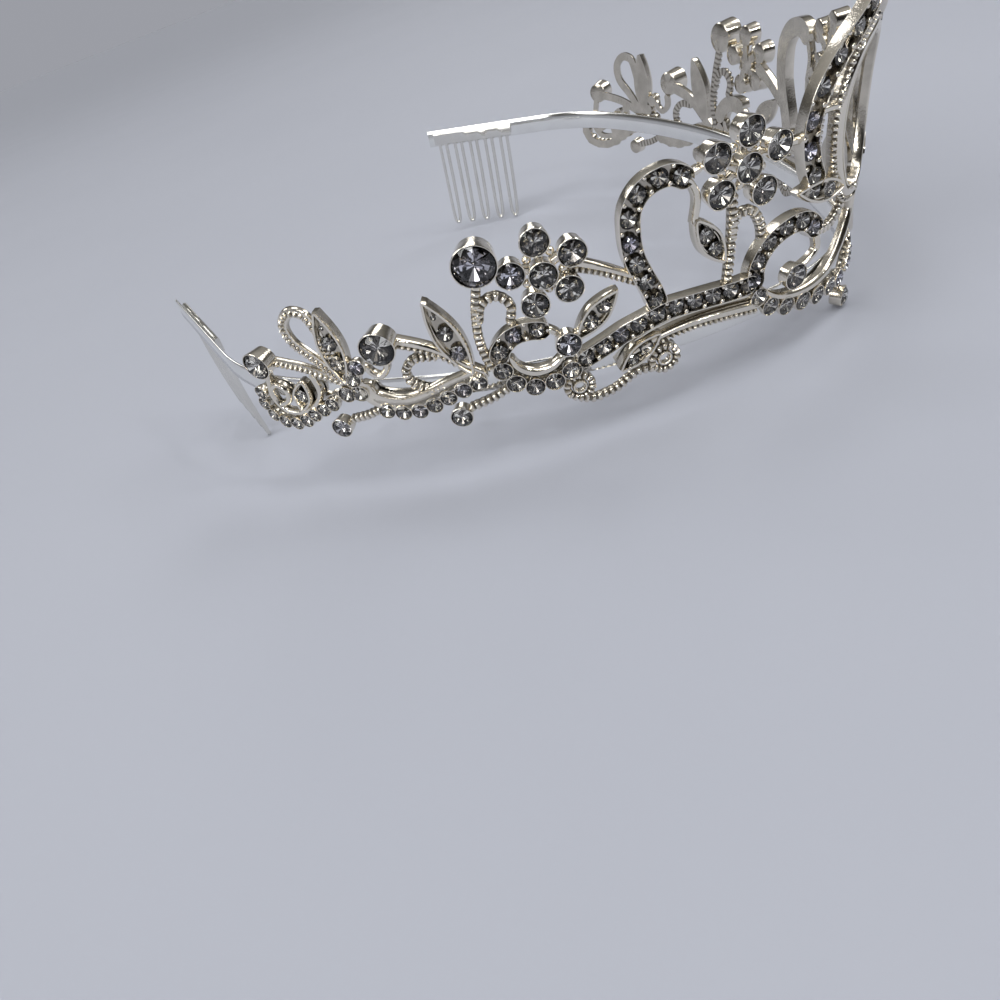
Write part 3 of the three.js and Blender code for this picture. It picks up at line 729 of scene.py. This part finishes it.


# ---- castings

# (across, height, relief) round each wire's section, anticlockwise from the back. Low relief is painted
# darker, as shade with some oxide tone, in hollows and down the sides; the crest is painted brightest.
RAIL = (
    (-0.5, 0, 0.5), (0.5, 0, 0.5), (0.5, 0.5, 0.5), (0.42, 0.82, 0.9), (0.22, 1, 1), (-0.22, 1, 1),
    (-0.42, 0.82, 0.9), (-0.5, 0.5, 0.5))
SCOOP = (
    (-0.5, 0, 0.5), (0.5, 0, 0.5), (0.5, 0.7, 0.8), (0.44, 0.94, 1), (0.3, 1, 1), (0.12, 0.86, 1),
    (-0.08, 0.66, 0.85), (-0.26, 0.66, 0.85), (-0.36, 0.86, 0.9), (-0.44, 0.95, 1), (-0.5, 0.8, 0.8))
CHANNEL = (
    (-0.5, 0, 0.5), (0.5, 0, 0.5), (0.5, 0.92, 0.8), (0.49, 1, 1), (0.455, 1, 1), (0.44, 0.92, 0.7),
    (0.43, 0.4, 0.35), (-0.43, 0.4, 0.35), (-0.44, 0.92, 0.7), (-0.455, 1, 1), (-0.49, 1, 1),
    (-0.5, 0.92, 0.8))
RIBBED = (
    (-0.5, 0, 0.5), (0.5, 0, 0.5), (0.5, 0.45, 0.3), (0.42, 0.58, 0.3), (0.2, 0.58, 0.1), (0.16, 0.84, 0.9),
    (0.06, 1, 1), (-0.2, 1, 1), (-0.29, 0.84, 0.9), (-0.32, 0.55, 0.1), (-0.37, 0.55, 0.1),
    (-0.4, 0.84, 0.8), (-0.46, 0.9, 0.9), (-0.5, 0.7, 0.5))
TAPERED = (
    (-0.5, 0, 0.5), (0.5, 0, 0.5), (0.5, 0.4, 0.3), (0.44, 0.52, 0.3), (0.1, 0.52, 0.1), (0.06, 0.8, 0.8),
    (-0.06, 0.98, 1), (-0.3, 1, 1), (-0.44, 0.86, 1), (-0.5, 0.6, 0.8))

stone_chance = random.Random(11)


def stone_spot(side, along, up, depth, radius):
    """Place, facing, size and spin of a stone, leaning a little at random."""
    lean = Vector((stone_chance.uniform(-1, 1), stone_chance.uniform(-1, 1), stone_chance.uniform(-1, 1)))
    facing = (outward(side * along) + lean * STONE_LEAN).normalized()
    return bend(side * along, up, BACK + depth), facing, radius * MM, stone_chance.uniform(0, 6.283)


def bead_spot(side, along, up, depth, radius):
    """Place, facing, size and spin of a bead."""
    return bend(side * along, up, BACK + depth), outward(side * along), radius * MM, 0.0


def small_cup(cast, at, radius):
    """Open cup for one field stone, its inside painted dark as shade with some oxide tone."""
    r, height = radius + CUP_WALL, CUP_HEIGHT
    cast.turn(at, ((0, 0, 0.5), (0.8 * r, 0, 0.5), (0.96 * r, 0.5 * height, 0.5),
                   (r, 0.92 * height, 0.9), (0.98 * r, height, 1), (0.92 * r, height, 1),
                   (0.87 * r, 0.9 * height, 0.5), (0.84 * r, 0.7 * height, 0), (0, 0.3 * height, 0)), 22)


def deep_bezel(cast, at, radius, front):
    """Deep round bezel of a single stone; front is the height of its rim."""
    r = radius + BEZEL_WALL
    # Inside the rim the relief falls to 0: painted shade with some oxide tone in the bezel.
    cast.turn(at, ((0, 0, 0.5), (0.8 * r, 0, 0.5), (0.9 * r, 0.06 * front, 0.6), (0.95 * r, 0.5 * front, 0.8),
                   (r, front - 0.35, 0.9), (r, front - 0.06, 1), (r - 0.06, front, 1), (r - 0.16, front, 1),
                   (r - 0.2, front - 0.1, 0.6), (r - 0.24, front - 0.4, 0), (0, front - 0.6 * r, 0)), 40)


def leaf_outline(base, tip, width, inset):
    """Corners of a leaf's outline, moved inward by an inset."""
    ba, ta = np.array(base, float), np.array(tip, float)
    length = np.linalg.norm(ta - ba)
    d = (ta - ba) / length
    across = np.array([-d[1], d[0]])
    half = width / 2 - inset
    lo, hi = inset / length, 1 - inset / length
    right = [ba + d * length * (lo + (hi - lo) * s) + across * half * w for s, w in LEAF_PROFILE]
    left = [ba + d * length * (lo + (hi - lo) * s) - across * half * w for s, w in LEAF_PROFILE[1:-1]]
    return [tuple(p) for p in right + left[::-1]]


def beside(path, across):
    """The same path at a distance to its left."""
    places, _ = even_steps(smooth_path(path), step=1.5)
    return [(a + na * across, u + nu * across) for (a, u), (na, nu), _ in places]


def set_leaf(cast, beads, stones, side, base, tip, width, fittings):
    """Leaf with a polished rim, a sunk floor, stones down its middle and a bead at each end."""
    for inset, across, height in LEAF_RIMS:
        cast.sweep(leaf_outline(base, tip, width, inset), RAIL, across, height, looped=True, step=0.4)
    floor = leaf_outline(base, tip, width, LEAF_FLOOR_INSET)
    n = len(floor)
    rings = [(a * side, u, LEAF_FLOOR) for a, u in floor] + [(a * side, u, 0.0) for a, u in floor]
    cast.add(rings, [tuple(range(n)), tuple(range(2 * n - 1, n - 1, -1))]
             + [(k, (k + 1) % n, n + (k + 1) % n, n + k) for k in range(n)], [LEAF_FLOOR_RELIEF] * (2 * n))
    b, t = np.array(base, float), np.array(tip, float)
    for share, size in fittings:
        room = width / 2 * np.interp(share, *zip(*LEAF_PROFILE)) - LEAF_ROOM
        a, u = b + (t - b) * share
        stones.append(stone_spot(side, a, u, LEAF_SEAT, min(size * SMALL_STONE, room)))
    for share in (0.1, 0.9):
        a, u = b + (t - b) * share
        beads.append(bead_spot(side, a, u, *LEAF_BEAD))


# Sweeps of each style: section, width, height, distance to the left of the path, options.
SWEEPS = {
    "beaded": ((RAIL, 1.9, 1.0, 0, {}), (RAIL, 1.15, 1.6, 0, {"knurl": 0.95})),
    "knurled": ((RAIL, 1.6, 1.35, 0, {"knurl": 1.1}),),
    "tapered": ((TAPERED, 2.2, 1.6, 0, {"taper": (1.2, 0.7)}),
                (RAIL, 1.0, 1.5, 0.55, {"taper": (0.9, 1.2), "knurl": 1.0})),
    "ribbed": ((RIBBED, 3.0, 1.6, 0, {}), (RAIL, 1.0, 1.6, 1.0, {"knurl": 1.0})),
    "swelling": ((RIBBED, 3.0, 1.6, 0, {"taper": (0.45, 1.05), "belly": 0.15}),
                 (RAIL, 1.0, 1.6, 0.9, {"taper": (0.7, 1.1), "knurl": 1.0})),
    "crescent": ((RAIL, 1.1, 1.7, 0, {"belly": 0.6}),),
    "thread": ((RAIL, 0.6, 1.3, 0, {}),),
    "rail": ((RAIL, 1.25, 1.4, 0, {}),),
    "scoop": ((SCOOP, 3.0, 1.7, 0, {"taper": (1.1, 0.7)}),),
    "channel": ((CHANNEL, 3.4, 2.0, 0, {}),),
    "cups": ((RAIL, 2.0, 0.9, 0, {}),),
}


def half_ornament(side):
    """Castings, beads and field stones of one half."""
    cast, beads, stones = Casting(side), [], []
    for style, count, path in WIRES:
        for section, width, height, across, options in SWEEPS[style]:
            cast.sweep(beside(path, across) if across else path, section, width, height, **options)
        if style == "channel":
            rows, _ = even_steps(smooth_path(path), count=2 * count)
            for (a, u), _, _ in rows[1::2]:
                stones.append(stone_spot(side, a, u, STONE_SEAT, SMALL_STONE))
            for (a, u), (na, nu), _ in rows[2:-1:2]:
                for w in (-PRONG_REACH, PRONG_REACH):
                    beads.append((bend(side * (a + na * w), u + nu * w, BACK + PRONG_SEAT),
                                  outward(side * a), PRONG_SIZE * MM, 0.0))
        elif style == "cups":
            rows, length = even_steps(smooth_path(path), count=2 * count)
            size = min(CUP_GROWTH * SMALL_STONE, 0.5 * length / count - CUP_ROOM)
            for (a, u), _, _ in rows[1::2]:
                small_cup(cast, (a, u), size)
                stones.append(stone_spot(side, a, u, STONE_SEAT, size))
    for (a, u), r in CIRCLES:
        outer = [(a + r * math.cos(q * math.pi / 4), u + r * math.sin(q * math.pi / 4)) for q in range(8)]
        inner = [(a + (x - a) * 0.48, u + (y - u) * 0.48) for x, y in outer]
        cast.sweep(outer, RAIL, 1.3, 1.3, looped=True, knurl=1.0)
        cast.sweep(inner, RAIL, 0.65, 1.1, looped=True, step=0.3)
    for leaf in LEAVES:
        set_leaf(cast, beads, stones, side, *leaf)
    for at in CLUSTER:
        small_cup(cast, at, SMALL_STONE)
        stones.append(stone_spot(side, at[0], at[1], STONE_SEAT, SMALL_STONE))
    where = {name: np.array(at) for name, at, _, _ in BEZELS}
    for flower in ("outer_flower_", "inner_flower_"):
        heart = where[flower + "heart"]
        petals = [at for name, at in where.items() if name.startswith(flower) and name[-1].isdigit()]
        petals.sort(key=lambda at: math.atan2(*(at - heart)))
        for k, at in enumerate(petals):
            cast.sweep((heart, at), RAIL, 1.5, 1.1, round_ends=False)
            a, u = heart + (at + petals[(k + 1) % len(petals)] - 2 * heart) * FLOWER_BEAD_PLACE
            beads.append(bead_spot(side, a, u, *FLOWER_BEAD))
    for _, at, size, front in BEZELS:
        deep_bezel(cast, at, size * LARGE_STONE, front)
    return cast, beads, stones


def set_in(word, side, rows):
    """Spots and node names of the single stones in a table of bezels."""
    spots = [stone_spot(side, at[0], at[1], front - BEZEL_SINK, size * LARGE_STONE + BEZEL_WALL - BEZEL_LIP)
             for _, at, size, front in rows]
    return spots, ["%s%s_stone" % (word, name) for name, _, _, _ in rows]


bead_recipe, stone_recipe = bead_tree(), stone_tree()
cut = cut_stone_template()

SIDES = (("left", -1), ("right", 1))
for word, side in SIDES:
    cast, beads, stones = half_ornament(side)
    large, names = set_in(word + "_", side, BEZELS)
    if side < 0:
        for _, at, size, front in CENTRE_BEZELS:
            deep_bezel(cast, at, size * LARGE_STONE, front)
        centre, centre_names = set_in("", 1, CENTRE_BEZELS)
        large, names = large + centre, names + centre_names
    piece = cast.mesh("filigree_cast_" + word, CAST_SILVER)
    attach(piece, "root")
    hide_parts("filigree_" + word)
    piece = grown("milgrain_" + word, bead_recipe, beads,
                  {"Bead Size": 1.0, "Smoothness": 2, "Finish": BEAD_SILVER})
    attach(piece, "root")
    looks = {"Cut": cut, "Finish": STONE_GLASS, "Backing": STONE_FOIL}
    piece = grown("field_stones_" + word, stone_recipe, stones, {**looks, "Seed": 3 + side})
    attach(piece, "root")
    piece = grown("round_stones_" + word, stone_recipe, large, {**looks, "Seed": 8 + side})
    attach(piece, "root")
    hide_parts(*names)
bpy.data.objects.remove(cut)


# ---- headband strip and combs

def strip_piece():
    """Thin strip with rounded edges."""
    t, h, edge, steps = STRIP_THICK / 2, STRIP_HEIGHT, 0.16, 330
    section = ((-t + edge, 0), (t - edge, 0), (t, edge), (t, h - edge),
               (t - edge, h), (-t + edge, h), (-t, h - edge), (-t, edge))
    n = len(section)
    verts, faces = [], []
    for i in range(steps + 1):
        s = STRIP_HALF * (2 * i / steps - 1)
        verts += [bend(s, u, d) for d, u in section]
    for i in range(steps):
        for k in range(n):
            m = (k + 1) % n
            faces.append((i * n + k, i * n + m, (i + 1) * n + m, (i + 1) * n + k))
    faces.append(tuple(range(n)))
    faces.append(tuple(range(steps * n, (steps + 1) * n)))
    data = bpy.data.meshes.new("headband")
    data.from_pydata(verts, [], faces)
    return finished_piece("headband", data, STRIP_SILVER, STRIP_ANGLE)


def wire_loft(verts, faces, rings, sides):
    """Adds a closed body through rings of equal length."""
    start = len(verts)
    for ring in rings:
        verts += ring
    for i in range(len(rings) - 1):
        for k in range(sides):
            m = (k + 1) % sides
            a, b = start + i * sides, start + (i + 1) * sides
            faces.append((a + k, a + m, b + m, b + k))
    faces.append(tuple(range(start, start + sides)))
    faces.append(tuple(range(start + (len(rings) - 1) * sides, start + len(rings) * sides)))


def comb_piece(word, side):
    """Flat comb back with bent hairpin teeth."""
    verts, faces = [], []
    reach = COMB_TEETH * COMB_PITCH / 2
    middle = STRIP_HALF - COMB_FROM_END - reach
    near = -STRIP_THICK / 2 - GAP
    far, edge, steps = near - COMB_BACK_THICK, 0.2, 12
    low = (STRIP_HEIGHT - COMB_BACK_HEIGHT) / 2
    high = low + COMB_BACK_HEIGHT
    section = ((near, low + edge), (near - edge, low), (far + edge, low), (far, low + edge),
               (far, high - edge), (far + edge, high), (near - edge, high), (near, high - edge))
    plate = []
    for i in range(steps + 1):
        s = side * (middle + reach * (2 * i / steps - 1))
        plate.append([bend(s, u, o) for o, u in section])
    wire_loft(verts, faces, plate, len(section))
    half = TOOTH_WIDTH / 2 - TOOTH_WIRE / 2
    bottom = low - COMB_LENGTH + TIP_LIFT
    leg = [(share * half, bottom + rise) for share, rise in TOOTH_TIP] + [(half, low - 6), (half, low + 1.6)]
    pins = [(-a, u) for a, u in leg[:0:-1]] + leg
    line, _ = even_steps(smooth_path(pins, per_span=12), step=0.8)
    for k in range(COMB_TEETH):
        s = middle + COMB_PITCH * (k - (COMB_TEETH - 1) / 2)
        rings = []
        for (a, u), (na, nu), _ in line:
            sag = TOOTH_BEND * (max(0.0, low - u) / COMB_LENGTH) ** 2
            ring = []
            for q in range(WIRE_SIDES):
                turn = 2 * math.pi * q / WIRE_SIDES
                across, deep = TOOTH_WIRE / 2 * math.cos(turn), TOOTH_WIRE / 2 * math.sin(turn)
                ring.append(bend(side * (s + a + na * across), u + nu * across,
                                 near - COMB_BACK_THICK / 2 - sag + deep))
            rings.append(ring)
        wire_loft(verts, faces, rings, WIRE_SIDES)
    data = bpy.data.meshes.new("comb_" + word + "_wires")
    data.from_pydata(verts, [], faces)
    return finished_piece("comb_" + word + "_wires", data, COMB_STEEL, WIRE_ANGLE)


piece = strip_piece()
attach(piece, "root")
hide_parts("headband_strip")
for word, side in SIDES:
    piece = comb_piece(word, side)
    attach(piece, "root")
    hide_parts("comb_" + word)


# ---- stage, light and camera

TABLE_HALF = 60          # metres, so that the table fills the view
PAPER = ((0.36, 0.377, 0.433), (0.382, 0.399, 0.455))    # darkest and palest fibre

# The room's light: soft round patches over the dim walls, each laid over the ones before it.
# Direction, inner and outer half angle in degrees, colour.
ROOM_WALLS = (0.075, 0.07, 0.062)
ROOM_PATCHES = (
    ((0, 0, 1), 15, 80, (0.71, 0.705, 0.7)),                 # pale ceiling
    ((-0.55, -0.75, 0.5), 16, 40, (0.03, 0.028, 0.027)),     # dark patch in front
    ((0, 0, -1), 97, 110, (0.6, 0.615, 0.68)),               # pale floor, up to the horizon
)
# Small bright windows: direction, inner and outer half angle, strength.
WINDOWS = (
    ((-0.9, 0.5, 0.75), 10, 20, 8), ((0.8, -0.5, 0.9), 8, 14, 8), ((-0.6, -0.1, 1), 5, 9, 12),
    ((0.1, -0.5, 1), 4, 8, 12), ((0.1, 0.9, 0.6), 5, 10, 8), ((-1, -0.3, 0.4), 4, 8, 9),
    ((0.9, 0.6, 0.5), 5, 10, 7),
)
WINDOW_TINT = (1, 1, 0.99)
ROOM_STRENGTH = 0.55


def table_top():
    """Matt pale paper under the tiara."""
    data = bpy.data.meshes.new("table_top")
    h = TABLE_HALF
    data.from_pydata([(-h, -h, 0), (h, -h, 0), (h, h, 0), (-h, h, 0)], [], [(0, 1, 2, 3)])
    material, nodes, link, shader = new_material("pale_paper")
    noise = nodes.new("ShaderNodeTexNoise")
    noise.inputs["Scale"].default_value = 9
    noise.inputs["Detail"].default_value = 5
    place = nodes.new("ShaderNodeTexCoord")
    link(place.outputs["Object"], noise.inputs["Vector"])
    link(mixed_colour(nodes, link, noise.outputs["Fac"], *PAPER), shader.inputs["Base Color"])
    shader.inputs["Roughness"].default_value = 0.75
    data.materials.append(material)
    return in_scene("table_top", data)


table_top()


def lamp(name, place, target, size, power, colour):
    """Rectangular lamp at a place, facing a target; metres and watts."""
    data = bpy.data.lights.new(name, "AREA")
    data.shape = "RECTANGLE"
    data.size, data.size_y = size
    data.energy = power
    data.color = colour
    thing = in_scene(name, data)
    thing.location = place
    thing.rotation_euler = (Vector(target) - Vector(place)).to_track_quat("-Z", "Y").to_euler()


def room_light():
    """Dim room: pale ceiling, a dark patch in front and small bright windows around."""
    world = bpy.data.worlds.new("room")
    bpy.context.scene.world = world
    world.use_nodes = True
    nodes, link = world.node_tree.nodes, world.node_tree.links.new
    place = nodes.new("ShaderNodeTexCoord")

    def patch(below, direction, inner, outer, colour):
        """Mixes a soft round patch of colour over what is below it."""
        dot = nodes.new("ShaderNodeVectorMath")
        dot.operation = "DOT_PRODUCT"
        link(place.outputs["Generated"], dot.inputs[0])
        dot.inputs[1].default_value = Vector(direction).normalized()
        edge = nodes.new("ShaderNodeMapRange")
        edge.interpolation_type = "SMOOTHSTEP"
        edge.inputs["From Min"].default_value = math.cos(math.radians(outer))
        edge.inputs["From Max"].default_value = math.cos(math.radians(inner))
        link(dot.outputs["Value"], edge.inputs["Value"])
        return mixed_colour(nodes, link, edge.outputs["Result"], below, colour)

    room = ROOM_WALLS
    for direction, inner, outer, colour in ROOM_PATCHES:
        room = patch(room, direction, inner, outer, colour)
    for direction, inner, outer, strength in WINDOWS:
        room = patch(room, direction, inner, outer, tuple(strength * c for c in WINDOW_TINT))
    link(room, nodes["Background"].inputs["Color"])
    nodes["Background"].inputs["Strength"].default_value = ROOM_STRENGTH


room_light()
lamp("ceiling_front", (-0.3, -0.3, 1.4), (0, 0, 0), (0.85, 0.65), 5.4, (1.0, 0.99, 0.98))
lamp("ceiling_back", (0.4, 0.45, 1.4), (0, 0, 0), (0.5, 0.4), 1.9, (0.98, 0.98, 1.0))
lamp("spark_one", (-0.7, -0.35, 0.55), (0, 0, 0.02), (0.06, 0.06), 1.1, (1, 1, 1))
lamp("spark_two", (0.1, -0.8, 0.7), (0, 0, 0.02), (0.05, 0.05), 1.1, (1, 0.98, 0.95))

# Camera at the picture's viewing angle.
lens = bpy.data.cameras.new("camera")
lens.sensor_width = 36
lens.lens = 27.04
lens.clip_start = 0.005
camera = in_scene("camera", lens)
camera.location = (-0.14006, -0.09375, 0.07821)
camera.rotation_euler = [math.radians(v) for v in (51.215, 16.81, -58.09)]
bpy.context.scene.camera = camera
bpy.context.scene.view_settings.view_transform = "Standard"
